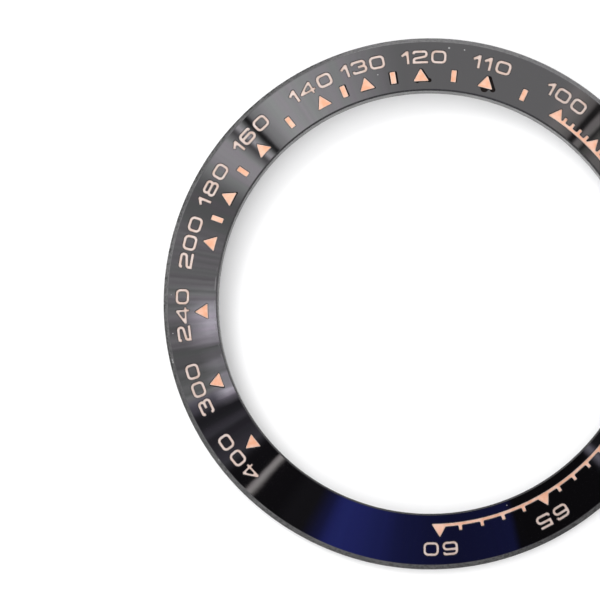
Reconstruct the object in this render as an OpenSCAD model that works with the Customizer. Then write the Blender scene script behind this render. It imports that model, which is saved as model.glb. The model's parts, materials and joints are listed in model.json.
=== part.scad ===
// Tachymeter bezel ring of a chronograph: one ceramic ring with a sloping face,
// and the marks of its speed scale as thin metal inlays set into the face.
// Origin at the centre of the underside, +Z up through the face, the 60 mark towards -Y.

/* [Ring] */
// Outer diameter of the ring
outer_d = 38.6; // [34:0.1:44]
// Width of the ring from its bore to its outer wall
band_w = 4; // [3.6:0.1:4.6]
// Height of the ring at its inner edge
ring_h = 1.95; // [1.7:0.05:2.4]
// Height of the upright outer wall
rim_h = 0.5; // [0.3:0.05:0.7]
// Width of the steep bevel between the outer wall and the face
bevel_w = 0.33; // [0.2:0.01:0.5]
// Height of the steep bevel
bevel_h = 0.45; // [0.3:0.05:0.6]
// Edge break where the face meets the bore
inner_break = 0.1; // [0.05:0.01:0.16]
// Edge breaks along the underside
foot_break = 0.08; // [0.04:0.01:0.14]

/* [Scale] */
// Margin between the bore and the base circle that the marks stand on
scale_margin = 0.71; // [0.5:0.01:0.9]
// Width of a triangle at its base
triangle_w = 1.2; // [0.8:0.02:1.3]
// Height of a triangle from base to tip
triangle_h = 1.04; // [0.8:0.02:1.3]
// Width of a bar between two triangles
bar_w = 0.43; // [0.3:0.01:0.6]
// Height of a bar
bar_h = 0.95; // [0.8:0.01:1.2]
// Width of the curved track that joins the units
track_w = 0.27; // [0.2:0.01:0.4]
// Width of a unit tick
tick_w = 0.28; // [0.18:0.01:0.34]
// Height of a unit tick from the base circle
tick_h = 0.62; // [0.4:0.01:0.8]

/* [Inlays] */
// Thickness of an inlay
inlay_t = 0.12; // [0.06:0.01:0.2]
// Depth of an inlay's top below the face
inlay_sink = 0.05; // [0.02:0.01:0.1]

/* [Hidden] */
$fn = 180;
// Value of the scale at a full turn, and the mark that lies towards -Y
full_turn_value = 60;
// The track runs from the first to the last of these values, with a triangle at each step
track_first = 60;
track_last = 100;
track_step = 5;
// Triangles that stand by themselves, and bars as [value, triangle before, triangle after]
triangle_values = [110, 120, 130, 140, 160, 180, 200, 240, 300, 400];
bar_places = [
    [105, 100, 110], [115, 110, 120], [125, 120, 130], [135, 130, 140],
    [150, 140, 160], [170, 160, 180], [190, 180, 200]
];
// How far the engraved triangles lie from their computed turns, as [value, degrees]
engraving_creep = [
    [60, -0.1], [65, -0.1], [95, 1.1], [110, 0.55], [120, 0.3], [130, 0.15], [140, 0.15],
    [160, -0.05], [180, 0], [200, -0.4], [240, 0], [300, -0.2], [400, -0.2]
];
// How far the unit ticks lie from an even division between their triangles, as [value, degrees]
tick_creep = [[60, 0.26], [70, 0.26], [95, 0]];

outer_r = outer_d / 2;
bore_r = outer_r - band_w;
rim_top = rim_h + bevel_h;
face_outer_r = outer_r - bevel_w;
face_inner_r = bore_r + inner_break;
face_slope = (ring_h - rim_top) / (face_outer_r - face_inner_r);
scale_r = bore_r + scale_margin;
// How far an outline runs inside the base circle before the layer trims it
root = 0.4;
// Radius that lies outside every mark, and the height that cutters rise above the face
scale_end_r = scale_r + max(triangle_h, bar_h, tick_h, track_w) + root;
above = 0.5;
pocket_depth = inlay_sink + inlay_t;
ceramic = "#1b1c20";
rose_gold = "#eab08c";

function triangle_name(value) = str("triangle_", value);
function bar_name(value) = str("bar_", value);

// Height of the sloping face at a radius
function face_z(r) = rim_top + (face_outer_r - r) * face_slope;
// Turn of a triangle from -Y, clockwise as seen from above
function triangle_turn(value) = 360 * full_turn_value / value + lookup(value, engraving_creep);
// Turn part of the way from one triangle to the next: bars and ticks divide it evenly
function turn_between(first, next, share) =
    triangle_turn(first) + (triangle_turn(next) - triangle_turn(first)) * share;
// Point at a radius in the direction of a turn
function turned(r, turn) = [-r * sin(turn), -r * cos(turn)];

// Section of the ring, from the bore to the outer wall
module ring_section() {
    polygon([
        [bore_r, foot_break],
        [bore_r + foot_break, 0],
        [outer_r - foot_break, 0],
        [outer_r, foot_break],
        [outer_r, rim_h],
        [face_outer_r, rim_top],
        [face_inner_r, ring_h],
        [bore_r, ring_h - inner_break]
    ]);
}

// Layer that follows the sloping face, from one height above it to another
module face_layer(low, high) {
    rotate_extrude()
        polygon([
            [scale_r, face_z(scale_r) + low],
            [scale_end_r, face_z(scale_end_r) + low],
            [scale_end_r, face_z(scale_end_r) + high],
            [scale_r, face_z(scale_r) + high]
        ]);
}

// Gives outlines the shape of a layer of the face
module in_layer(low, high) {
    intersection() {
        face_layer(low, high);
        linear_extrude(ring_h + 2 * above)
            children();
    }
}

// Places an outline drawn towards -Y at a turn
module at_turn(turn) {
    rotate(-turn)
        children();
}

// Outline of a triangle, its sides running on inside the base circle
module triangle_outline() {
    root_half_w = triangle_w / 2 * (triangle_h + root) / triangle_h;
    polygon([
        [root_half_w, root - scale_r],
        [-root_half_w, root - scale_r],
        [0, -scale_r - triangle_h]
    ]);
}

// Outline of a unit tick, running on inside the base circle
module tick_outline() {
    translate([-tick_w / 2, -scale_r - tick_h])
        square([tick_w, tick_h + root]);
}

// Sector of a disc between two triangles
module sector_outline(r, first, last) {
    reach = 2 * r;
    from = triangle_turn(first);
    to = triangle_turn(last);
    intersection() {
        circle(r);
        polygon([[0, 0], turned(reach, from), turned(reach, (from + to) / 2), turned(reach, to)]);
    }
}

// Outline of one triangle in its place
module placed_triangle_outline(value) {
    at_turn(triangle_turn(value))
        triangle_outline();
}

// Outline of the track with its triangles and unit ticks
module track_outline() {
    sector_outline(scale_r + track_w, track_first, track_last);
    for (value = [track_first:track_step:track_last])
        placed_triangle_outline(value);
    for (value = [track_first:track_step:track_last - track_step], unit = [1:track_step - 1])
        at_turn(turn_between(value, value + track_step, unit / track_step) + lookup(value, tick_creep))
            tick_outline();
}

// Outline of the bar halfway between two triangles, running on inside the base circle
module bar_outline(place) {
    at_turn(turn_between(place[1], place[2], 0.5))
        translate([-bar_w / 2, -scale_r - bar_h])
            square([bar_w, bar_h + root]);
}

// Metal inlay with a given outline, lying on the floor of its pocket
module inlay() {
    color(rose_gold)
        in_layer(-pocket_depth, -inlay_sink)
            children();
}

// Ring with a pocket for each inlay
module ceramic_ring() {
    color(ceramic)
        difference() {
            rotate_extrude()
                ring_section();
            in_layer(-pocket_depth, above) {
                track_outline();
                for (value = triangle_values)
                    placed_triangle_outline(value);
                for (place = bar_places)
                    bar_outline(place);
            }
        }
}

ceramic_ring();
inlay() track_outline();  // scale_track
for (value = triangle_values)
    inlay() placed_triangle_outline(value);
for (place = bar_places)
    inlay() bar_outline(place);
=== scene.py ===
import json
import math

import bpy
import numpy as np
from mathutils import Matrix, Vector
from mathutils.geometry import delaunay_2d_cdt


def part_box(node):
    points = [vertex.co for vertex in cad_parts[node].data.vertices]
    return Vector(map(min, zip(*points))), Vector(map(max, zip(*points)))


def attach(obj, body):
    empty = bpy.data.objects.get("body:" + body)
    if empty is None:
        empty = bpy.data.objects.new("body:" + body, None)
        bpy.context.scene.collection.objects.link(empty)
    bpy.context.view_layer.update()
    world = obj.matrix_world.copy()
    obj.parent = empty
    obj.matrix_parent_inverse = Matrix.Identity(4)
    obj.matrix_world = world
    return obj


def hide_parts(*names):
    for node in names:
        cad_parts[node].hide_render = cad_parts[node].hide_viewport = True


# Looks of a tachymeter bezel ring: polished black ceramic, with marks and numerals filled with rose gold.
# All sizes are in millimetres and angles in degrees. The frame is the model's own: origin at the centre
# of the underside, +Z up through the face. A turn is measured from -Y, clockwise as seen from above.

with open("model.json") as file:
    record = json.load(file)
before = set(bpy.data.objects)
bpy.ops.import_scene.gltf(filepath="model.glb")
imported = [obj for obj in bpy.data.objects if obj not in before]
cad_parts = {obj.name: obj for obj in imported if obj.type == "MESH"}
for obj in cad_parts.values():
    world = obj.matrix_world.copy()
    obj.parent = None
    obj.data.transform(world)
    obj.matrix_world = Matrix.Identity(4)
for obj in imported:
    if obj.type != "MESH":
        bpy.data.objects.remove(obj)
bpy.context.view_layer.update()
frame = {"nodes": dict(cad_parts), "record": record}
MM = 0.001

# Sizes of the ring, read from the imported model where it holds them, and the radii of its rounded edges
OUTER_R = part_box("ceramic_ring")[1].x / MM
RING_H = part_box("ceramic_ring")[1].z / MM
BORE_R = next(m for m in frame["record"]["mounts"] if m["name"] == "bore")["dims"]["r_mm"]
RIM_H = 0.5
BEVEL_W = 0.33
BEVEL_H = 0.45
INNER_BREAK = 0.1
FOOT_BREAK = 0.08
EDGE_R = {"face": 0.08, "rim": 0.06, "foot": 0.03, "bore": 0.03, "inner": 0.05}
EDGE_STEPS = 4
RIM_TOP = RIM_H + BEVEL_H
FACE_OUTER_R = OUTER_R - BEVEL_W
FACE_INNER_R = BORE_R + INNER_BREAK
FACE_SLOPE = (RING_H - RIM_TOP) / (FACE_OUTER_R - FACE_INNER_R)
SIDES = 720

# Surfaces of the ring, in the order of their materials
POLISHED, GROUND, ENGRAVED, BEVEL = range(4)

# How much of a side of an outline the rounding of one corner may take
MOST_REACH = 0.48

# The scale: the value at a full turn, and the corners of the filled marks
FULL_TURN_VALUE = 60
MARK_CORNER_R = 0.07
DIGIT_END_R = 0.06

# Sizes of the numerals. A 1 takes up ONE_W and is drawn ONE_REACH wide. A 4 has finer strokes. A numeral
# is centred on its mark, apart from the shifts in degrees below.
DIGIT_W = 0.94
DIGIT_H = 0.81
DIGIT_STROKE = 0.222
DIGIT_CORNER_R = 0.25
FOUR_CORNER_R = 0.03
FOUR_SHARE = 0.78
DIGIT_GAP = 0.22
ONE_W = 0.38
ONE_REACH = 0.43
DIGIT_FOOT_R = 17.45
NUMERAL_VALUES = (*range(60, 91, 5), 100, 110, 120, 130, 140, 160, 180, 200, 240, 300, 400)
NUMERAL_SHIFTS = {
    60: -0.17, 65: 0.28, 100: -0.68, 110: -0.07, 120: 0.25, 130: -0.4, 140: -1.7, 160: -0.13, 180: -0.07,
    200: -1.5, 240: -0.6, 300: -0.38, 400: -0.7,
}
# The strokes of some numerals, as shares of the common width
STROKE_SHARES = {60: 0.92, 65: 0.95, 110: 1.06, 140: 1.06, 200: 1.05}
# How much wider the gaps after the first and the second digit are than the common gap
WIDER_GAPS = {
    100: (0.01, -0.03), 110: (0.0, 0.1), 120: (0.02, -0.03), 130: (0.02, -0.04), 140: (0.06, 0.03),
    160: (-0.03, 0.0), 180: (0.07, 0.0), 200: (-0.06, 0.0), 240: (-0.04, -0.04), 300: (-0.01, -0.02),
    400: (0.0, 0.03),
}
# How far outwards some numerals stand from the common foot
NUMERAL_RISES = {60: -0.02, 160: 0.02, 180: 0.035, 200: 0.03, 240: 0.04}

# Pockets and the metal in them, as depths below the face
POCKET_DEPTH = 0.17
FILL_SINK = 0.05
FILL_GAP = 0.015
LIP = 0.02
MARK_EDGE = 0.05
DIGIT_EDGE = 0.04

# Steps along the rounding of a pocket's lip and of the metal's upper edge, as shares of a quarter turn,
# and how many strips of the lip are polished with the face
LIP_SHARES = (0.0, 0.35, 0.7, 1.0)
LIP_POLISHED = 2
FILL_SHARES = (0.0, 0.3, 0.6, 0.85, 1.0)

# How far a pocket shows bare beside its metal, as moves to the right and up in the frame
BARE_EDGES = {
    "triangle_110": [(0.22, -0.08), (0.12, -0.08)],
    "triangle_120": [(0.12, -0.03), (0.05, -0.05)],
    "triangle_130": [(0.05, -0.03)],
    "triangle_180": [(0.09, 0.02)],
    "triangle_300": [(0.02, -0.06)],
    "bar_115": [(0.04, -0.01)],
    "bar_125": [(0.12, -0.03), (-0.08, -0.03)],
    "bar_135": [(0.07, 0.02)],
}

# Round bare spots at a mark's pocket, as turn, radius and size
BARE_SPOTS = {
    "triangle_110": [(196.9, 15.98, 0.29), (199.05, 16.05, 0.2)],
    "triangle_120": [(182.5, 16.08, 0.15), (179.35, 16.02, 0.14)],
}

# Where the photograph was taken from: the camera's place, the point of the table at the picture's
# centre, how far the picture's upright is turned from +Y, the lens, and the width of its sensor
CAMERA_PLACE = (-1.862, -19.072, 297.53)
CAMERA_AIM = (-9.379, 0.634, 0.0)
CAMERA_TURN = 2.35
CAMERA_LENS = 246.15
CAMERA_SENSOR = 36

# The ceramic, and the pale grey of a speck on its face and on its bevel
CERAMIC_IOR = 2.0
CERAMIC_BLACK = (0.0022, 0.0020, 0.0024)
FACE_SPECK_GREY = (0.24, 0.24, 0.24)
BEVEL_SPECK_GREY = (0.26, 0.26, 0.26)

# The metals: name, the deep and the pale shade as display colours, how metallic, and how rough
METALS = [
    ("marks", (208, 149, 117), (214, 171, 148), 0.15, 0.42),
    # The edges' paler shades are a painted highlight on the rounded rim of the marks' metal.
    ("edges", (208, 178, 162), (217, 195, 184), 0.1, 0.4),
    # The track's shades lie partly towards the edges' painted highlight, spread over its thin line.
    ("track", (209, 154, 126), (216, 175, 154), 0.12, 0.42),
    # The numerals' paler shades are in part a painted highlight.
    ("numerals", (189, 166, 154), (198, 182, 175), 0.1, 0.45),
]

# Single specks, as turn, radius and size
FACE_SPECKS = [
    (186.9, 18.57, 0.09), (190.4, 18.54, 0.07), (169.7, 16.93, 0.06), (-18.3, 15.7, 0.05),
    (85.5, 18.72, 0.05), (94.1, 18.72, 0.04),
]
BEVEL_SPECKS = [(79.3, 19.08, 0.1), (79.8, 19.09, 0.09), (55.6, 19.04, 0.07)]

# Where the face's inner edge is chipped, how pale the chips are, and where the bevel is notched
CHIPS_R = 15.52
CHIPS_TURN = 86
CHIPS_STRENGTH = 0.3
NOTCHES_TURN = 120

# Colours of what the gloss shows: the room, the two tints that its streaks drift between, and the cards
ROOM_TINT = (0.978, 0.962, 0.987)
STREAK_TINTS = ((1.035, 0.982, 1.04), (0.968, 1.01, 0.985))
DARK_TINT = (1, 0.94, 1.15)
CLOTH_BLUE = (0.115, 0.155, 1)
SLIT_TINT = (1, 0.925, 0.92)
BARS_TINT = (1.02, 0.97, 0.94)
NEAR_TINT = (0.99, 0.925, 1.05)

# What each point of a card holds: its glow, its cover, the ring's turn there, and its place in its row
CARD_VALUES = ("glow", "cover", "turn", "across")

# The card of light that lies on the table: the radii of its rows and its height
TABLE_CARD_R = (19.4, 19.7, 120, 200)
TABLE_CARD_Z = 0.05

# The key light, the directions of the room's brighter sides in the plane, the room's strength as light
# with its change towards the zenith, and the table
KEY_PLACE = (-341, 470, 391)
KEY_SIZE = (450, 300)
KEY_POWER = 2.85
LIGHT_SIDE = (-0.64, -0.36)
WINDOW_SIDE = (0.3, 0.95)
ROOM_LOW = 1.55
ROOM_ABOVE = -0.54
FLOOR_SIZE = 1600
FLOOR_WHITE = (0.93, 0.93, 0.935)


# Outlines

def direction(turn):
    """Unit vector in the plane towards a turn."""
    angle = math.radians(turn)
    return np.array((-math.sin(angle), -math.cos(angle)))


def placed(points, turn):
    """Moves points drawn with x clockwise and y outwards to a turn."""
    outward = direction(turn)
    clockwise = direction(turn + 90)
    return np.array([clockwise * x + outward * y for x, y in points])


def arc(centre, radius, start, end, steps):
    """Points on an arc, with the angles in radians."""
    return [
        (centre[0] + radius * math.cos(a), centre[1] + radius * math.sin(a))
        for a in np.linspace(start, end, steps + 1)
    ]


def corner_arc(points, i, radius, least_turn=0.0):
    """Centre, radius and end angles of the arc that rounds a corner of a loop, no larger than the sides
    allow, or nothing where the loop hardly turns."""
    here = np.array(points[i], float)
    before = np.array(points[i - 1], float) - here
    after = np.array(points[(i + 1) % len(points)], float) - here
    length_before, length_after = np.linalg.norm(before), np.linalg.norm(after)
    before, after = before / length_before, after / length_after
    turn = math.pi - math.acos(max(-1.0, min(1.0, float(before @ after))))
    if turn < least_turn:
        return None
    reach = min(radius * math.tan(turn / 2), MOST_REACH * length_before, MOST_REACH * length_after)
    used = reach / math.tan(turn / 2)
    middle = before + after
    centre = here + middle / np.linalg.norm(middle) * used / math.cos(turn / 2)
    first = here + before * reach - centre
    angle = math.atan2(first[1], first[0])
    side = before[0] * after[1] - before[1] * after[0]
    return centre, used, angle, angle + math.copysign(turn, -side)


def rounded(points, radius, closed=True, steps=5, least_turn=0.3):
    """A path with arcs for its corners."""
    path = []
    for i, point in enumerate(points):
        end = not closed and i in (0, len(points) - 1)
        bend = None if end else corner_arc(points, i, radius, least_turn)
        path += arc(*bend, steps) if bend else [tuple(point)]
    return path


def stroke(points, width, corner, closed):
    """Outline of a stroke of even width along a path, as one or two loops."""
    path = np.array(rounded(points, corner, closed))
    along = np.roll(path, -1, axis=0) - path
    along /= np.linalg.norm(along, axis=1)[:, None]
    if not closed:
        along[-1] = along[-2]
    before = np.roll(along, 1, axis=0)
    if not closed:
        before[0] = along[0]
    left = np.stack((-(along + before)[:, 1], (along + before)[:, 0]), axis=1)
    left /= (1 + (along * before).sum(axis=1))[:, None]
    sides = path + left * width / 2, path - left * width / 2
    if closed:
        return [list(map(tuple, side)) for side in sides]
    return [list(map(tuple, sides[1])) + list(map(tuple, sides[0][::-1]))]


def area(loop):
    """Area inside a loop, below zero where it runs clockwise."""
    x, y = np.asarray(loop, float).T
    return float((x * np.roll(y, -1) - y * np.roll(x, -1)).sum() / 2)


def windings(points, loop):
    """How many times a loop runs counterclockwise round each point."""
    loop = np.asarray(loop, float)
    (ax, ay), (bx, by) = loop.T, np.roll(loop, -1, axis=0).T
    near = np.ones(len(points), bool)
    for k, (low, high) in enumerate(((ax.min(), ax.max()), (ay.min(), ay.max()))):
        near &= (points[:, k] > low) & (points[:, k] < high)
    x, y = points[near].T[:, :, None]
    side = (bx - ax) * (y - ay) - (x - ax) * (by - ay)
    rising = (ay <= y) & (by > y) & (side > 0)
    falling = (ay > y) & (by <= y) & (side < 0)
    total = np.zeros(len(points), int)
    total[near] = rising.sum(axis=1) - falling.sum(axis=1)
    return total


def oriented(loops):
    """The loops of one outline, with the side that it covers on their left."""
    out = []
    for loop in loops:
        loop = np.asarray(loop, float)
        loop = loop if area(loop) > 0 else loop[::-1]
        around = sum(abs(windings(loop[:1], other)[0]) for other in loops if other is not loops[len(out)])
        out.append(loop[::-1] if around % 2 else loop)
    return out


def triangulated(loops, near=1e-5):
    """Triangles between all the loops, as corners, triples of corners, and their centres. A corner that is
    a point of a loop keeps that point's exact place."""
    points, edges = [], []
    for loop in loops:
        first, count = len(points), len(loop)
        points += [tuple(p) for p in loop]
        edges += [(first + i, first + (i + 1) % count) for i in range(count)]
    made = delaunay_2d_cdt([Vector(p) for p in points], edges, [], 0, near, True)
    corners = np.array([points[ids[0]] if ids else tuple(p) for p, ids in zip(made[0], made[3])])
    triangles = np.array(made[2])
    return corners, triangles, corners[triangles].mean(axis=1)


def united(outlines, near=0.0005):
    """Loops round the union of outlines, with the covered side on the left."""
    outlines = [oriented(loops) for loops in outlines]
    corners, triangles, centres = triangulated([loop for loops in outlines for loop in loops], near)
    covered = np.zeros(len(triangles), bool)
    for loops in outlines:
        covered |= sum(windings(centres, loop) for loop in loops) > 0
    loops = [corners[loop] for loop in boundary(triangles[covered].tolist())]
    return [simplified(loop) for loop in loops if abs(area(loop)) > 0.001]


def boundary(faces):
    """Loops of corners round a patch of faces, with the patch on the left."""
    edges = set()
    for face in faces:
        for edge in zip(face, (*face[1:], face[0])):
            if edge[::-1] in edges:
                edges.remove(edge[::-1])
            else:
                edges.add(edge)
    following = {}
    for a, b in sorted(edges):
        following.setdefault(a, []).append(b)
    loops = []
    while following:
        start = here = min(following)
        loop = []
        while here != start or not loop:
            loop.append(here)
            ends = following.pop(here)
            if ends[1:]:
                following[here] = ends[1:]
            here = ends[0]
        loops.append(loop)
    return loops


def without_spikes(loop, least=0.002):
    """The points of a loop without those on top of a neighbour and without spikes of no width."""
    kept = list(loop)
    i = 0
    while i < len(kept):
        before, after = kept[i - 1], kept[(i + 1) % len(kept)]
        if min(math.dist(kept[i], before), math.dist(after, before)) <= least:
            del kept[i]
            i = max(i - 1, 0)
        else:
            i += 1
    return kept


def simplified(loop, bend=0.004):
    """A loop without spikes, and without points that lie straight between their neighbours."""
    kept = without_spikes(loop)
    out = []
    for i, point in enumerate(kept):
        before, after = point - kept[i - 1], kept[(i + 1) % len(kept)] - point
        cross = before[0] * after[1] - before[1] * after[0]
        if abs(cross) > bend * np.linalg.norm(before) * np.linalg.norm(after) or before @ after < 0:
            out.append(point)
    return np.array(without_spikes(out))


def softened(loop, radius, sharp=0.7):
    """A loop with its sharp corners rounded, and its bends left as they are. Points of a bend that lie
    within reach of a sharp corner go, so that they don't hold its radius down."""
    loop = np.asarray(loop, float)
    count = len(loop)
    after = np.roll(loop, -1, axis=0) - loop
    length = np.linalg.norm(after, axis=1)
    before = np.roll(after, 1, axis=0)
    turn = np.arccos(np.clip((before * after).sum(axis=1) / (np.roll(length, 1) * length), -1, 1))
    kept = np.ones(count, bool)
    for i in np.flatnonzero(turn > sharp):
        reach = 1.1 * radius * math.tan(turn[i] / 2)
        for step in (1, -1):
            j, gone = (i + step) % count, length[i if step > 0 else i - 1]
            while gone < reach and turn[j] < sharp:
                kept[j] = False
                gone += length[j if step > 0 else j - 1]
                j = (j + step) % count
    return rounded(loop[kept], radius, steps=4, least_turn=sharp)


def grown(loop, by):
    """A loop moved outwards from the side that it covers, and the unit vector outwards at each point."""
    loop = np.asarray(loop, float)
    after = np.roll(loop, -1, axis=0) - loop
    after /= np.linalg.norm(after, axis=1)[:, None]
    before = np.roll(after, 1, axis=0)
    outward = np.stack(((after + before)[:, 1], -(after + before)[:, 0]), axis=1)
    outward /= np.maximum(1 + (after * before).sum(axis=1), 0.2)[:, None]
    return loop + outward * by, outward / np.linalg.norm(outward, axis=1)[:, None]


# Marks of the scale

def node_outline(name):
    """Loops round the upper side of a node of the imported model, seen from above."""
    node = frame["nodes"][name]
    points = [node.matrix_world @ v.co / MM for v in node.data.vertices]
    faces = []
    for polygon in node.data.polygons:
        corners = [(round(points[i].x, 4), round(points[i].y, 4)) for i in polygon.vertices]
        if polygon.normal.z > 0.5 and area(corners) > 0:
            faces.append(corners)
    return [softened(simplified(np.array(loop)), MARK_CORNER_R) for loop in boundary(faces)]


def pocket_of(name, loops):
    """Outline of a mark's pocket, which at some marks shows bare beside the metal."""
    if name not in BARE_EDGES:
        return loops
    moves = [np.array(move) * share for move in BARE_EDGES[name] for share in (0.5, 1)]
    parts = [loop + move for move in moves for loop in loops]
    for turn, r, radius in BARE_SPOTS.get(name, ()):
        parts.append(arc(direction(turn) * r, radius, 0, 2 * math.pi, 24)[:-1])
    return oriented(united([loops] + [[part] for part in parts], near=0.004))


# Numerals, drawn with x to the right and y up from the middle of the foot stroke

def digit_strokes(digit, s):
    """Outlines whose union is a digit with strokes of a width."""
    w, h = DIGIT_W / 2, DIGIT_H
    mid = h * 0.5
    hook = 0.2
    stem, bar = 0.32, 0.19
    one = ONE_REACH / 2
    paths = {
        "0": [([(-w, 0), (w, 0), (w, h), (-w, h)], True)],
        "1": [
            ([(one, -s / 2), (one, h + s / 2)], False),
            ([(-one - 0.02, h - 0.28), (one, h + 0.03)], False),
        ],
        "2": [
            ([(-w, h - hook), (-w, h), (w, h), (w, mid + 0.04), (-w, mid - 0.12), (-w, 0)], False),
            ([(-w - s / 2, 0), (w + s / 2, 0)], False),
        ],
        "3": [
            ([(-w, h - hook), (-w, h), (w - 0.04, h), (w - 0.04, mid + 0.01), (-0.1, mid + 0.01)], False),
            ([(0, mid + 0.01), (w, mid + 0.01), (w, 0), (-w, 0), (-w, hook)], False),
        ],
        "4": [
            ([(stem, -s / 2), (stem, h)], False),
            ([(stem, h + 0.03), (-w - 0.16, bar), (stem, bar)], True),
            ([(0, bar), (w + s / 2, bar)], False),
        ],
        "5": [
            ([(w, h), (-w + 0.04 - s / 2, h)], False),
            ([(-w + 0.04, h + s / 2), (-w + 0.04, mid + 0.05 - s / 2)], False),
            ([(-w + 0.04, mid + 0.05), (w, mid + 0.05), (w, 0), (-w, 0), (-w, hook)], False),
        ],
        "6": [
            ([(w - 0.02, h - hook * 0.9), (w - 0.02, h), (-w, h), (-w, 0), (0, 0)], False),
            ([(-w, mid + 0.06), (w, mid + 0.06), (w, 0), (-0.1, 0)], False),
        ],
        "7": [([(-w - s / 2, h), (w, h), (w, h - 0.2), (-0.12, -s / 2)], False)],
        "8": [
            ([(-w, 0), (w, 0), (w, mid + 0.02), (-w, mid + 0.02)], True),
            ([(-w + 0.04, mid + 0.02), (w - 0.04, mid + 0.02), (w - 0.04, h), (-w + 0.04, h)], True),
        ],
        "9": [
            ([(-w + 0.02, hook * 0.9), (-w + 0.02, 0), (w, 0), (w, h), (0, h)], False),
            ([(w, mid - 0.06), (-w, mid - 0.06), (-w, h), (0.1, h)], False),
        ],
    }
    width, corner = (s * FOUR_SHARE, FOUR_CORNER_R) if digit == "4" else (s, DIGIT_CORNER_R)
    return [stroke(points, width, corner, closed) for points, closed in paths[digit]]


def numeral_outlines(value):
    """Loops of a numeral's digits, each digit square to its own place on the circle."""
    digits = str(value)
    widths = [(ONE_W if d == "1" else DIGIT_W) + DIGIT_STROKE for d in digits]
    gaps = [DIGIT_GAP + more for more in WIDER_GAPS.get(value, (0,) * (len(digits) - 1))]
    total = sum(widths) + sum(gaps)
    lead = (DIGIT_W - ONE_W) / 2 if digits[0] == "1" else 0
    along = -total / 2 + lead
    middle_r = DIGIT_FOOT_R + DIGIT_H / 2
    wide = DIGIT_STROKE * STROKE_SHARES.get(value, 1)
    foot_r = DIGIT_FOOT_R + NUMERAL_RISES.get(value, 0)
    middle_turn = 360 * FULL_TURN_VALUE / value + NUMERAL_SHIFTS.get(value, 0)
    loops = []
    for digit, width, gap in zip(digits, widths, gaps + [0]):
        turn = middle_turn + math.degrees((along + width / 2) / middle_r)
        for loop in united(digit_strokes(digit, wide)):
            loops.append(placed([(x, y + foot_r) for x, y in softened(loop, DIGIT_END_R)], turn))
        along += width + gap
    return loops


def marks():
    """Loops of the metal of every mark by its node's name, and of every numeral."""
    names = [s["node"] for s in frame["record"]["subparts"] if s["material_slot"] == "rose_gold"]
    made = {name: node_outline(name) for name in names}
    made.update({f"numeral_{v}": numeral_outlines(v) for v in NUMERAL_VALUES})
    return {name: oriented(loops) for name, loops in made.items()}


# Meshes

def face_z(r):
    """Height of the sloping face at a radius."""
    return RIM_TOP + (FACE_OUTER_R - r) * FACE_SLOPE


def face_normals(points):
    """Normals of the sloping face at points of the plane."""
    points = np.asarray(points, float)
    outward = points / np.linalg.norm(points, axis=1)[:, None]
    up = np.ones((len(points), 1))
    normals = np.hstack((outward * FACE_SLOPE, up))
    return normals / math.hypot(1, FACE_SLOPE)


def on_face(points, above):
    """Points of the plane raised to a height above the sloping face."""
    points = np.asarray(points, float)
    z = face_z(np.linalg.norm(points, axis=1)) + above
    return np.column_stack((points, z))


class Skin:
    """A mesh under construction. Corners at the same place share one vertex, and each corner of each
    face has its own normal."""

    def __init__(self):
        self.places = {}
        self.points = []
        self.faces = []
        self.normals = []
        self.kinds = []

    def vertex(self, point):
        """Number of the vertex at a point."""
        key = tuple(round(c, 4) for c in point)
        if key not in self.places:
            self.places[key] = len(self.points)
            self.points.append(tuple(float(c) * MM for c in point))
        return self.places[key]

    def face(self, points, normals, kind=POLISHED):
        """A face whose front is on the side of its normals, unless its corners fall together."""
        points, normals = np.asarray(points, float), np.asarray(normals, float)
        if np.cross(points[1] - points[0], points[2] - points[0]) @ normals.sum(axis=0) < 0:
            points, normals = points[::-1], normals[::-1]
        corners = [self.vertex(p) for p in points]
        kept = [i for i, c in enumerate(corners) if c != corners[i - 1]]
        if len(set(corners)) < 3 or len(kept) != len(set(corners)):
            return
        self.faces.append([corners[i] for i in kept])
        self.normals += [tuple(normals[i]) for i in kept]
        self.kinds.append(kind)

    def strip(self, low, high, low_normals, high_normals, kind=POLISHED):
        """Faces between two loops of equal length."""
        count = len(low)
        for i in range(count):
            j = (i + 1) % count
            self.face(
                (low[i], low[j], high[j], high[i]),
                (low_normals[i], low_normals[j], high_normals[j], high_normals[i]),
                kind,
            )

    def piece(self, name, materials):
        """The mesh as a new object."""
        mesh = bpy.data.meshes.new(name)
        mesh.from_pydata(self.points, [], self.faces)
        for material in materials:
            mesh.materials.append(material)
        mesh.polygons.foreach_set("material_index", self.kinds)
        mesh.polygons.foreach_set("use_smooth", [True] * len(self.faces))
        mesh.normals_split_custom_set(self.normals)
        return added(name, mesh)


def filled(loops):
    """Triangles that fill the left side of loops, as points of the plane."""
    corners, triangles, centres = triangulated(loops)
    inside = sum(windings(centres, loop) for loop in loops) > 0
    return corners[triangles[inside]]


def add_layer(skin, loops, height, flip=False, kind=POLISHED):
    """Fills loops with a layer that follows the sloping face."""
    for triangle in filled(loops):
        points = on_face(triangle, height)
        normal = face_normals(triangle) * (-1 if flip else 1)
        skin.face(points, normal, kind)


def ring_section():
    """The section of the ring from the face's inner edge down the bore and round to its outer edge, as
    corner points with the radius that rounds each."""
    return [
        ((FACE_INNER_R, RING_H), EDGE_R["inner"]),
        ((BORE_R, RING_H - INNER_BREAK), EDGE_R["bore"]),
        ((BORE_R, FOOT_BREAK), EDGE_R["foot"]),
        ((BORE_R + FOOT_BREAK, 0), EDGE_R["foot"]),
        ((OUTER_R - FOOT_BREAK, 0), EDGE_R["foot"]),
        ((OUTER_R, FOOT_BREAK), EDGE_R["foot"]),
        ((OUTER_R, RIM_H), EDGE_R["rim"]),
        ((FACE_OUTER_R, RIM_TOP), EDGE_R["face"]),
    ]


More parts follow.
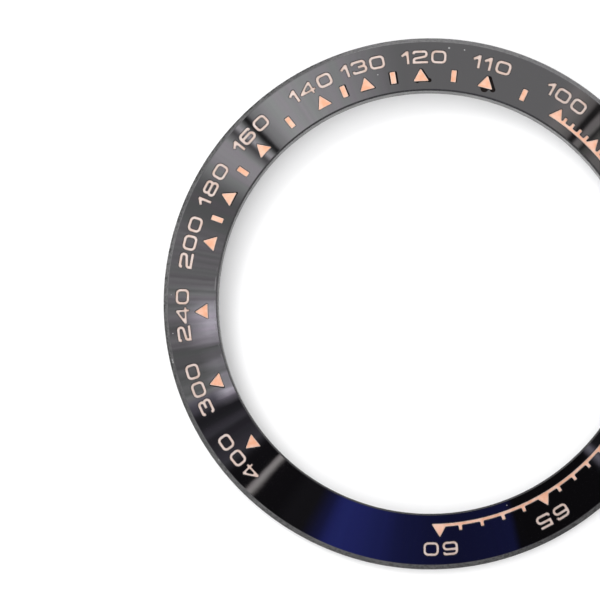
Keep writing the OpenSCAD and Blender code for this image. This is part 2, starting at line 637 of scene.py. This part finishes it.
def rounded_section():
    """Points and normals round the section, from the face's inner edge to its outer edge."""
    corners, radii = zip(*ring_section())
    out = []
    for i, radius in enumerate(radii):
        centre, used, start, end = corner_arc(corners, i, radius)
        for a in np.linspace(start, end, EDGE_STEPS + 1):
            normal = np.array((math.cos(a), math.sin(a)))
            out.append((centre + normal * used, normal))
    return out


def circle(radius):
    """Points of a circle, one for each side of the ring."""
    return [tuple(direction(360 * i / SIDES) * radius) for i in range(SIDES)]


def lathe(skin, section):
    """Turns a section, given as points and normals, round the ring's axis. The last edge, beside the
    face, is polished with it."""
    middle_r = (BORE_R + OUTER_R) / 2
    rings, normals = [], []
    for (r, z), (nr, nz) in section:
        rings.append([(x, y, z) for x, y in circle(r)])
        normals.append([(x, y, nz) for x, y in circle(nr)])
    for k in range(len(section) - 1):
        kind = BEVEL if section[k + 1][0][0] > middle_r else GROUND
        if k >= len(section) - 1 - EDGE_STEPS:
            kind = POLISHED
        skin.strip(rings[k], rings[k + 1], normals[k], normals[k + 1], kind)


def ceramic_ring_piece(pockets, materials):
    """The ring, with a pocket with a softly rounded lip for each mark and numeral."""
    skin = Skin()
    section = rounded_section()
    lathe(skin, section)
    lips = [grown(loop, LIP)[0][::-1] for loops in pockets for loop in loops]
    inner, outer = circle(section[0][0][0]), circle(section[-1][0][0])
    add_layer(skin, [outer[::-1], inner] + lips, 0.0)
    for loops in pockets:
        for loop in loops:
            steps = []
            for share in LIP_SHARES:
                angle = share * math.pi / 2
                points, outward = grown(loop, LIP * (1 - math.sin(angle)))
                normals = face_normals(points) * math.cos(angle)
                normals[:, :2] -= outward * math.sin(angle)
                height = LIP * (math.cos(angle) - 1)
                steps.append((on_face(points, height), normals))
            steps.append((on_face(loop, -POCKET_DEPTH), steps[-1][1]))
            for k, ((high, high_n), (low, low_n)) in enumerate(zip(steps, steps[1:])):
                skin.strip(high, low, high_n, low_n, POLISHED if k < LIP_POLISHED else ENGRAVED)
        add_layer(skin, loops, -POCKET_DEPTH, kind=ENGRAVED)
    return skin.piece("polished_ring", materials)


def fill_piece(name, loops, edge, materials):
    """The metal in one pocket, with a softly rounded upper edge as its second kind. On the marks that edge
    has a paler metal, a painted highlight.
    """
    skin = Skin()
    rows = []
    for loop in loops:
        base, outward = grown(loop, -FILL_GAP)
        side = np.column_stack((outward, np.zeros(len(outward))))
        steps = [(on_face(base, -POCKET_DEPTH), side)]
        for share in FILL_SHARES:
            angle = share * math.pi / 2
            points, _ = grown(loop, -FILL_GAP - edge * (1 - math.cos(angle)))
            normals = face_normals(points) * math.sin(angle)
            normals[:, :2] += outward * math.cos(angle)
            height = -FILL_SINK - edge * (1 - math.sin(angle))
            steps.append((on_face(points, height), normals))
        for (low, low_n), (high, high_n) in zip(steps, steps[1:]):
            skin.strip(low, high, low_n, high_n, len(materials) - 1)
        rows.append((base, points))
    bottoms, tops = zip(*rows)
    add_layer(skin, bottoms, -POCKET_DEPTH, flip=True)
    add_layer(skin, tops, -FILL_SINK)
    return skin.piece(name, materials)


# Materials

class Nodes:
    """Short ways to add and join the nodes of a material or of the world."""

    def __init__(self, owner, place="Object"):
        owner.use_nodes = True
        self.tree = owner.node_tree
        self.place = self.add("ShaderNodeTexCoord").outputs[place]

    def add(self, kind, **settings):
        """A new node."""
        node = self.tree.nodes.new(kind)
        for key, value in settings.items():
            setattr(node, key, value)
        return node

    def feed(self, socket, value):
        """Gives a socket a number, a colour or another node's output."""
        if isinstance(value, bpy.types.NodeSocket):
            self.tree.links.new(value, socket)
        else:
            socket.default_value = (*value, 1) if isinstance(value, tuple) else value

    def made(self, kind, inputs, output=0, **settings):
        """Output of a new node with the given inputs."""
        node = self.add(kind, **settings)
        for key, value in inputs.items():
            self.feed(node.inputs[key], value)
        return node.outputs[output]

    def maths(self, operation, first, second):
        """Two numbers joined by an operation."""
        return self.made("ShaderNodeMath", {0: first, 1: second}, operation=operation)

    def times(self, product, *factors):
        """Numbers multiplied with each other."""
        for factor in factors:
            product = self.maths("MULTIPLY", product, factor)
        return product

    def xyz(self):
        """The three coordinates of the place."""
        return self.made("ShaderNodeSeparateXYZ", {"Vector": self.place}).node.outputs

    def along(self, way, x, y):
        """How far the place lies along a direction of the plane."""
        return self.maths("ADD", self.times(x, way[0]), self.times(y, way[1]))

    def noise(self, size_mm, detail=3.0, roughness=0.5, distortion=0.0):
        """Noise with features of about a size."""
        inputs = {"Vector": self.place, "Scale": 1 / (size_mm * MM), "Detail": detail}
        inputs.update({"Roughness": roughness, "Distortion": distortion})
        return self.made("ShaderNodeTexNoise", inputs, "Fac")

    def spread(self, value, low, high, to_low=0.0, to_high=1.0, smooth=False):
        """A value spread from one range to another."""
        inputs = {"Value": value, "From Min": low, "From Max": high, "To Min": to_low, "To Max": to_high}
        return self.made("ShaderNodeMapRange", inputs, "Result",
                         interpolation_type="SMOOTHSTEP" if smooth else "LINEAR")

    def mixed(self, share, first, second):
        """Two colours mixed by a share."""
        return self.made("ShaderNodeMix", {0: share, 6: first, 7: second}, 2, data_type="RGBA")

    def between(self, share, first, second):
        """Two numbers mixed by a share."""
        return self.made("ShaderNodeMix", {0: share, 2: first, 3: second}, 0)

    def bump(self, height, depth_mm, after=None):
        """Normal of bumps of a depth, on top of another normal where there is one."""
        inputs = {"Height": height, "Distance": depth_mm * MM}
        if after is not None:
            inputs["Normal"] = after
        return self.made("ShaderNodeBump", inputs, "Normal")


def surface_material(name, inputs_of):
    """A material whose shader takes the inputs that a function works out from its nodes."""
    material = bpy.data.materials.new(name)
    nodes = Nodes(material)
    shader = nodes.tree.nodes["Principled BSDF"]
    for key, value in inputs_of(nodes).items():
        nodes.feed(shader.inputs[key], value)
    return material


def srgb(red, green, blue):
    """Linear colour of a display colour from 0 to 255."""
    shares = (red / 255, green / 255, blue / 255)
    return tuple(c / 12.92 if c <= 0.04045 else ((c + 0.055) / 1.055) ** 2.4 for c in shares)


def dust(nodes, cell_mm, size_mm, share):
    """Mask of a few tiny specks: one dot in some of the cells of a pattern."""
    inputs = {"Vector": nodes.place, "Scale": 1 / (cell_mm * MM)}
    cells = nodes.made("ShaderNodeTexVoronoi", inputs).node.outputs
    reach = size_mm / cell_mm
    dot = nodes.spread(cells["Distance"], reach * 0.5, reach, 1.0, 0.0)
    pick = nodes.made("ShaderNodeSeparateColor", {"Color": cells["Color"]}, "Red")
    return nodes.times(dot, nodes.spread(pick, 1 - share, 1 - share + 0.001))


def surface_z(r):
    """Height of the face or of the bevel at a radius."""
    return face_z(r) if r < FACE_OUTER_R else RIM_TOP - (r - FACE_OUTER_R) * BEVEL_H / BEVEL_W


def specks_at(nodes, places):
    """Mask of single specks, each given as its turn, radius and size."""
    mask = 0.0
    for turn, r, size_mm in places:
        point = tuple(c * MM for c in (*(direction(turn) * r), surface_z(r)))
        away = nodes.made("ShaderNodeVectorMath", {0: nodes.place}, "Value", operation="DISTANCE")
        away.node.inputs[1].default_value = point
        speck = nodes.spread(away, 0.4 * size_mm * MM, size_mm * MM, 1.0, 0.0)
        mask = nodes.maths("MAXIMUM", speck, mask)
    return mask


def edge_chips(nodes):
    """Mask of tiny pale chips along a stretch of the face's inner edge."""
    x, y, _ = nodes.xyz()
    flat = nodes.made("ShaderNodeCombineXYZ", {"X": x, "Y": y}, "Vector")
    r = nodes.made("ShaderNodeVectorMath", {0: flat}, "Value", operation="LENGTH")
    off = nodes.maths("ABSOLUTE", nodes.maths("SUBTRACT", r, CHIPS_R * MM), 0.0)
    line = nodes.spread(off, 0.01 * MM, 0.05 * MM, 1.0, 0.0)
    along = nodes.along(direction(CHIPS_TURN), x, y)
    stretch = nodes.spread(along, CHIPS_R * 0.96 * MM, CHIPS_R * 0.98 * MM)
    grains = nodes.spread(nodes.noise(0.4, detail=1.0), 0.47, 0.56, 0.0, CHIPS_STRENGTH)
    return nodes.times(line, stretch, grains)


def polished_ceramic(nodes):
    """Deep gloss, with faint wipe marks, the last trace of lapping and a few specks of dust."""
    specks = nodes.maths("MAXIMUM", dust(nodes, 0.9, 0.1, 0.02), edge_chips(nodes))
    specks = nodes.maths("MAXIMUM", specks, specks_at(nodes, FACE_SPECKS))
    wipes = nodes.noise(2.6, detail=4.0, distortion=0.6)
    smooth = nodes.spread(wipes, 0.35, 0.7, 0.02, 0.04)
    ripple = nodes.bump(nodes.noise(2.0, detail=2.0), 0.0012)
    return {
        "Base Color": nodes.mixed(specks, CERAMIC_BLACK, FACE_SPECK_GREY),
        "Roughness": nodes.maths("MAXIMUM", smooth, nodes.times(specks, 0.6)),
        "Normal": nodes.bump(nodes.noise(0.25, detail=2.0), 0.00008, after=ripple),
        "IOR": CERAMIC_IOR,
    }


def bevel_ceramic(nodes):
    """The bevel and the outer wall: ground to a dull grey, with dark pits and pale grains, and notched
    towards the outer edge on one side."""
    grain = nodes.noise(0.2, detail=3.0, roughness=0.65)
    patches = nodes.noise(1.8, detail=3.0)
    pits = nodes.spread(grain, 0.4, 0.52)
    pale = nodes.mixed(nodes.spread(patches, 0.35, 0.65), (0.03, 0.03, 0.031), (0.06, 0.06, 0.059))
    ground = nodes.mixed(pits, (0.008, 0.008, 0.008), pale)
    x, y, z = nodes.xyz()
    along = nodes.along(direction(NOTCHES_TURN), x, y)
    beside = nodes.spread(along, 0.55 * OUTER_R * MM, 0.8 * OUTER_R * MM, 0.2, 1.0)
    outer = nodes.spread(z, (RIM_TOP - 0.05) * MM, (RIM_H + 0.1) * MM, 0.1, 1.0)
    cuts = nodes.spread(nodes.noise(0.17, detail=2.0, roughness=0.6), 0.49, 0.56)
    notches = nodes.times(outer, cuts, beside)
    ground = nodes.mixed(nodes.times(notches, 0.6), ground, (0.006, 0.006, 0.006))
    return {
        "Base Color": nodes.mixed(specks_at(nodes, BEVEL_SPECKS), ground, BEVEL_SPECK_GREY),
        "Specular IOR Level": nodes.spread(notches, 0.0, 1.0, 0.6, 0.0),
        "Roughness": nodes.spread(patches, 0.3, 0.7, 0.3, 0.45),
        "Normal": nodes.bump(grain, 0.01),
        "IOR": 1.39,
    }


def ground_ceramic(nodes):
    """The ground bore and underside: a duller grain with small chips of shine."""
    grain = nodes.noise(0.12, detail=3.0, roughness=0.65)
    chips = nodes.spread(grain, 0.5, 0.75)
    patches = nodes.noise(1.4, detail=3.0)
    return {
        "Base Color": nodes.mixed(chips, CERAMIC_BLACK, (0.03, 0.03, 0.031)),
        "Roughness": nodes.spread(patches, 0.3, 0.7, 0.2, 0.36),
        "Normal": nodes.bump(grain, 0.008),
        "IOR": 1.65,
    }


def engraved_ceramic(nodes):
    """The dull, burnt floor and walls of the pockets."""
    return {
        "Base Color": nodes.mixed(nodes.noise(0.1), (0.004, 0.003, 0.003), (0.014, 0.009, 0.008)),
        "Roughness": 0.8,
        "IOR": 1.3,
    }


def rose_gold(deep, pale, metallic, roughness):
    """Satin metal paste: an even tone between two shades, with a fine grain."""
    def inputs(nodes):
        grain = nodes.noise(0.06, detail=3.0, roughness=0.6)
        drift = nodes.noise(0.5, detail=2.0)
        return {
            "Base Color": nodes.mixed(nodes.spread(drift, 0.35, 0.65), deep, pale),
            "Roughness": nodes.spread(grain, 0.3, 0.7, roughness - 0.06, roughness + 0.08),
            "Normal": nodes.bump(grain, 0.0035),
            "Metallic": metallic,
        }
    return inputs


# Studio

def look_at(obj, place, aim, upright):
    """Places an object at a point so that its -Z looks at another."""
    back = (Vector(place) - Vector(aim)).normalized()
    right = Vector(upright).cross(back).normalized()
    up = back.cross(right)
    axes = Matrix((right, up, back)).transposed().to_4x4()
    obj.matrix_world = Matrix.Translation(Vector(place) * MM) @ axes


def added(name, data):
    """A new object in the scene."""
    obj = bpy.data.objects.new(name, data)
    bpy.context.scene.collection.objects.link(obj)
    return obj


def add_camera():
    """The camera at the place that the photograph was taken from."""
    data = bpy.data.cameras.new("camera")
    data.sensor_width = CAMERA_SENSOR
    data.lens = CAMERA_LENS
    data.clip_start = 0.01
    data.clip_end = 20
    camera = added("camera", data)
    angle = math.radians(CAMERA_TURN)
    look_at(camera, CAMERA_PLACE, CAMERA_AIM, (math.sin(angle), math.cos(angle), 0))
    bpy.context.scene.camera = camera


def mirrored(turn, r=17.2):
    """The point of the face at a turn and radius, and the direction that the camera sees mirrored in it."""
    out = direction(turn)
    point = Vector((*(out * r), face_z(r)))
    normal = Vector((*(out * FACE_SLOPE), 1)).normalized()
    ray = (point - Vector(CAMERA_PLACE)).normalized()
    return point, ray - 2 * ray.dot(normal) * normal


def card_object(name, rows, turns, glows, covers, material):
    """A card through rows of points in millimetres, with the ring's turn, a glow and a cover at each
    point. It shows only in the gloss of the object."""
    wide = len(rows[0])
    points = [p * MM for row in rows for p in row]
    faces = [
        (k, k + 1, k + wide + 1, k + wide)
        for i in range(len(rows) - 1) for k in range(i * wide, i * wide + wide - 1)
    ]
    mesh = bpy.data.meshes.new(name)
    mesh.from_pydata(points, [], faces)
    turned = [turn for turn in turns for _ in range(wide)]
    across = list(range(wide)) * len(rows)
    for key, values in zip(CARD_VALUES, (glows, covers, turned, across)):
        mesh.attributes.new(key, "FLOAT", "POINT").data.foreach_set("value", values)
    mesh.materials.append(material)
    card = added(name, mesh)
    card.visible_camera = card.visible_diffuse = card.visible_shadow = card.visible_transmission = False


def card_material(name, colour, streaks=0.0):
    """Light of a colour, as strong as the card's glow, and clear where the card has no cover. Streaks
    run across the card and show as faint radial lines in the face."""
    material = bpy.data.materials.new(name)
    nodes = Nodes(material)
    glow, cover, turn, across = [
        nodes.made("ShaderNodeAttribute", {}, "Fac", attribute_name=key) for key in CARD_VALUES
    ]
    if streaks:
        place = nodes.made("ShaderNodeCombineXYZ", {"X": turn, "Y": nodes.times(across, 0.5)}, "Vector")
        inputs = {"Vector": place, "Scale": 0.9, "Detail": 3.0, "Roughness": 0.7}
        lines = nodes.made("ShaderNodeTexNoise", inputs, "Fac")
        glow = nodes.times(glow, nodes.spread(lines, 0.3, 0.7, 1 - streaks, 1 + streaks))
        drift = nodes.made("ShaderNodeTexNoise", {"Vector": place, "Scale": 0.5, "Detail": 2.0}, "Fac")
        tints = [tuple(c * shade for c, shade in zip(colour, tint)) for tint in STREAK_TINTS]
        colour = nodes.mixed(nodes.spread(drift, 0.35, 0.65), *tints)
    light = nodes.made("ShaderNodeEmission", {"Color": colour, "Strength": glow})
    clear = nodes.made("ShaderNodeBsdfTransparent", {})
    shown = nodes.made("ShaderNodeMixShader", {0: cover, 1: clear, 2: light})
    nodes.feed(nodes.tree.nodes["Material Output"].inputs["Surface"], shown)
    return material


def add_card(name, stations, colour=ROOM_TINT, distance=350, zeniths=(14, 62), soft=4, streaks=0.08):
    """A card across the room. Each station is a turn of the ring, where the camera sees that line of the
    card mirrored in the face, with the card's cover and glow there."""
    turns, cover_at, glow_at = zip(*stations)
    fine = sorted(set(np.arange(turns[0], turns[-1], 2.0)) | set(map(float, turns)))
    low, high = zeniths
    heights = (low, low + soft, (low + high) / 2, high - soft, high)
    rows, glows, covers = [], [], []
    for turn in fine:
        point, way = mirrored(turn)
        flat = Vector((way.x, way.y, 0)).normalized()
        angles = [math.radians(h) for h in heights]
        rays = [flat * math.sin(a) + Vector((0, 0, math.cos(a))) for a in angles]
        rows.append([point + ray * distance for ray in rays])
        glows += [np.interp(turn, turns, glow_at)] * len(heights)
        covers += list(np.interp(turn, turns, cover_at) * np.array((0, 1, 1, 1, 0)))
    card_object(name, rows, fine, glows, covers, card_material(name, colour, streaks))


def add_near_card(name, stations, glow, radii, distance=60, colour=NEAR_TINT, slant=0.0, outer=0):
    """A small card in front of the others, mirrored between the first and the last radius: full up to the
    middle one, and with a share of its cover at the last. Each station is a turn of the ring with the
    card's cover there. A slant adds that many degrees to the turn for each millimetre of radius."""
    turns = list(np.arange(stations[0][0], stations[-1][0] + 0.01, 0.5))
    rows, covers = [], []
    for turn in turns:
        seen = [mirrored(turn + slant * (r - radii[1]), r) for r in radii]
        rows.append([point + way * distance for point, way in seen])
        cover = np.interp(turn, *zip(*stations))
        covers += [cover, cover, cover * outer]
    card_object(name, rows, turns, [glow] * len(covers), covers, card_material(name, colour, streaks=0.25))


def add_front_cards():
    """The dark side towards the viewer, with a slit of light and a blue cloth in it."""
    add_card("dark_side", [
        (-75, 0, 0.04), (-60, 1, 0.04), (-46.7, 1, 0.05), (-45.6, 1, 0.5), (-45, 1, 0.9), (-44.2, 1, 0.6),
        (-43.2, 1, 0.04), (-42.5, 1, 0.005), (-20, 1, 0.005), (28, 1, 0.03), (36, 1, 0.03), (39, 1, 0.01),
        (51, 1, 0.02), (52, 1, 0.04), (53, 1, 0.13), (54, 1, 0.29), (55, 1, 0.26), (57, 1, 0.19),
        (59, 1, 0.13), (60, 1, 0.12), (61, 1, 0.28), (62, 1, 0.22), (63, 1, 0.12), (64, 1, 0.085),
        (65, 1, 0.085), (66, 1, 0.15), (67, 1, 0.4), (68, 1, 0.52), (69, 1, 0.75), (70, 0, 1.2),
    ], colour=DARK_TINT)
    add_card("slit", [
        (44.1, 0, 0.02), (44.5, 1, 0.12), (45, 1, 0.65), (45.5, 1, 1.6), (46, 1, 2), (46.5, 1, 1.55),
        (47, 1, 0.35), (47.3, 0, 0.02),
    ], colour=SLIT_TINT, distance=340)
    add_card("blue_cloth", [
        (-20.2, 0, 0.25), (-19.5, 1, 0.25), (-4, 1, 0.18), (4, 1, 0.25), (9, 1, 0.32), (14, 1, 0.56),
        (24, 1, 0.88), (26.5, 1, 0.64), (28, 0.7, 0.45), (32, 0, 0.2),
    ], colour=CLOTH_BLUE, distance=330)


def add_side_cards():
    """A wall on the left, a window behind the upper left, and a frame with bars and a low light on the
    right."""
    add_card("left_wall", [
        (68, 0, 1), (69.5, 1, 1), (70, 1, 1.25), (71, 1, 1.1), (73, 1, 0.98), (75, 1, 0.72), (76, 1, 0.85),
        (78, 1, 0.65), (81, 1, 0.66), (82, 1, 0.95), (84, 1, 1), (86, 1, 0.7), (87, 1, 0.84), (89, 1, 1.08),
        (92, 1, 1.06), (94, 1, 1.25), (96, 1, 1.06), (102, 1, 0.95), (107, 1, 1.04), (112, 0, 0.8),
    ], distance=360, streaks=0.3)
    add_card("window", [
        (109, 0, 0.9), (111, 1, 0.82), (114, 1, 0.72), (119, 1, 0.7), (121, 1, 0.9), (123, 1, 1.38),
        (126, 1, 1.9), (128, 1, 2.15), (131, 1, 2.1), (131.5, 1, 1.8), (132.5, 1, 1.15), (133, 1, 0.75),
        (133.5, 1, 0.45), (134, 1, 0.85), (134.5, 1, 2), (135, 1, 2.5), (135.5, 1, 2), (136, 1, 1.4),
        (136.5, 1, 0.6), (137, 1, 0.1), (137.5, 1, 0.06), (138, 1, 0.4), (138.5, 1, 1.15), (139, 1, 1.35),
        (140, 1, 1.65), (144, 1, 2.4), (150, 1, 2.25), (160, 1, 1.87), (170, 1, 1.28), (178, 0, 0.88),
    ])
    add_card("right_bars", [
        (214, 0, 1.1), (218, 1, 1.2), (220, 1, 1), (222, 1, 0.78), (222.6, 1, 0.45), (223, 1, 0.08),
        (223.9, 1, 0.06), (224.2, 1, 0.25), (224.6, 1, 0.75), (225, 1, 1), (226, 1, 1), (226.6, 1, 0.45),
        (227, 1, 0.12), (227.5, 1, 0.3), (228, 1, 0.48), (229, 1, 0.6), (231, 1, 0.88), (233, 1, 0.9),
        (240, 1, 0.5), (262, 1, 0.25), (285, 1, 0.06), (300, 0, 0.02),
    ], colour=BARS_TINT)
    add_card("low_light", [
        (240, 0, 3.3), (252, 1, 3.3), (284, 1, 3.3), (290, 0, 3.3),
    ], distance=400, zeniths=(66, 89))


def add_near_cards():
    """The slanted edge of the blue cloth, and bright patches that show beside the face's inner edge."""
    add_near_card("cloth_edge", [
        (-23, 0), (-22, 1), (-18.8, 1), (-17.4, 0),
    ], 0.005, radii=(14.8, 17.2, 19.6), distance=310, colour=DARK_TINT, slant=0.46, outer=1)
    add_near_card("reflection_low", [
        (65, 0), (66, 0.1), (67, 0.2), (67.7, 0.75), (69, 1), (70, 0.52), (73, 0.46), (74, 0.12), (75, 0.3),
        (77, 0.34), (78, 0.13), (80, 0.08), (80.8, 0.1),
    ], 2.9, radii=(15.2, 16, 17.1))
    add_near_card("reflection_high", [
        (80.8, 0.1), (82, 0.38), (84, 0.54), (86, 0.88), (87, 1), (88.5, 0.78), (90, 0.88), (92, 0.56),
        (93, 0.1), (96, 0.08), (97, 0),
    ], 3.4, radii=(15.2, 16.1, 17.9))


def add_table_cards():
    """Light that lies on the table round the ring, mirrored in its bevel: strongest beyond the object.
    Each station is a turn of the ring with the strength there."""
    stations = [
        (-60, 0.7), (-22, 0.65), (-8, 0.85), (6, 1), (20, 1.25), (48, 1.35), (80, 1.3), (90, 1.6), (97, 1.9),
        (104, 2.25), (111, 1.8), (118, 1.45), (125, 1.15), (132, 1.6), (139, 1.35), (153, 1.3), (160, 1.8),
        (167, 2.2), (180, 2.1), (216, 2.2), (240, 1.6), (280, 1), (300, 0.7),
    ]
    turns = list(np.arange(stations[0][0], stations[-1][0] + 0.1, 4.0))
    rows, glows = [], []
    for turn in turns:
        rows.append([Vector((*(direction(turn) * r), TABLE_CARD_Z)) for r in TABLE_CARD_R])
        glows += [np.interp(turn, *zip(*stations))] * len(TABLE_CARD_R)
    covers = [0, 1, 1, 0] * len(turns)
    card_object("table_light", rows, turns, glows, covers, card_material("table_light", ROOM_TINT))


def add_key_light():
    """A large lamp behind the upper left. It throws the soft shadow and doesn't show in the gloss."""
    data = bpy.data.lights.new("key", "AREA")
    data.shape = "RECTANGLE"
    data.size, data.size_y = (side * MM for side in KEY_SIZE)
    data.energy = KEY_POWER
    light = added("key", data)
    look_at(light, KEY_PLACE, (0, 0, 0), (0, 0, 1))
    light.visible_glossy = False


def add_world():
    """A pale room: white to the camera and in the upper part of the gloss, whose lower part is darker
    behind the viewer. As light it is even, apart from a brighter side that lies halfway up."""
    world = bpy.data.worlds.new("room")
    bpy.context.scene.world = world
    nodes = Nodes(world, "Generated")
    x, y, z = nodes.xyz()
    above = nodes.times(z, z, ROOM_ABOVE)
    aside = nodes.times(nodes.along(LIGHT_SIDE, x, y), z)
    light = nodes.maths("ADD", nodes.maths("ADD", above, ROOM_LOW), aside)
    low = nodes.spread(nodes.along(WINDOW_SIDE, x, y), -1.0, -0.2, 0.5, 0.9)
    gloss = nodes.between(nodes.spread(z, 0.15, 0.6, smooth=True), low, 1.0)
    path = nodes.add("ShaderNodeLightPath").outputs
    seen = nodes.maths("MAXIMUM", path["Is Camera Ray"], path["Is Transmission Ray"])
    unseen = nodes.between(path["Is Glossy Ray"], light, gloss)
    background = nodes.tree.nodes["Background"]
    nodes.feed(background.inputs["Color"], nodes.mixed(path["Is Glossy Ray"], (1.0, 1.0, 1.0), ROOM_TINT))
    nodes.feed(background.inputs["Strength"], nodes.between(seen, unseen, 1.0))


def add_floor():
    """A plain white table top, which keeps the object's shadow."""
    half = FLOOR_SIZE / 2 * MM
    corners = [(-half, -half, 0), (half, -half, 0), (half, half, 0), (-half, half, 0)]
    mesh = bpy.data.meshes.new("table")
    mesh.from_pydata(corners, [], [(0, 1, 2, 3)])
    material = bpy.data.materials.new("white_table")
    nodes = Nodes(material)
    diffuse = nodes.made("ShaderNodeBsdfDiffuse", {"Color": FLOOR_WHITE})
    nodes.feed(nodes.tree.nodes["Material Output"].inputs["Surface"], diffuse)
    mesh.materials.append(material)
    added("table", mesh)


# The scene

add_camera()
outlines = marks()
surfaces = (polished_ceramic, ground_ceramic, engraved_ceramic, bevel_ceramic)
ceramics = [surface_material(surface.__name__, surface) for surface in surfaces]
ring = ceramic_ring_piece([pocket_of(name, loops) for name, loops in outlines.items()], ceramics)
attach(ring, "root")
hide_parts("ceramic_ring")

mark_metal, edge_highlight_metal, track_metal, digit_metal = [
    surface_material(f"rose_gold_{name}", rose_gold(srgb(*deep), srgb(*pale), metallic, roughness))
    for name, deep, pale, metallic, roughness in METALS
]
for name, loops in outlines.items():
    if name.startswith("numeral"):
        piece = fill_piece(name, loops, DIGIT_EDGE, [digit_metal])
    else:
        metal = track_metal if name == "scale_track" else mark_metal
        # The marks' rounded upper edge takes the paler metal: a painted highlight.
        piece = fill_piece(f"{name}_fill", loops, MARK_EDGE, [metal, edge_highlight_metal])
        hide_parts(name)
    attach(piece, "root")

add_floor()
add_world()
add_key_light()
add_front_cards()
add_side_cards()
add_near_cards()
add_table_cards()
bpy.context.scene.view_settings.view_transform = "Standard"
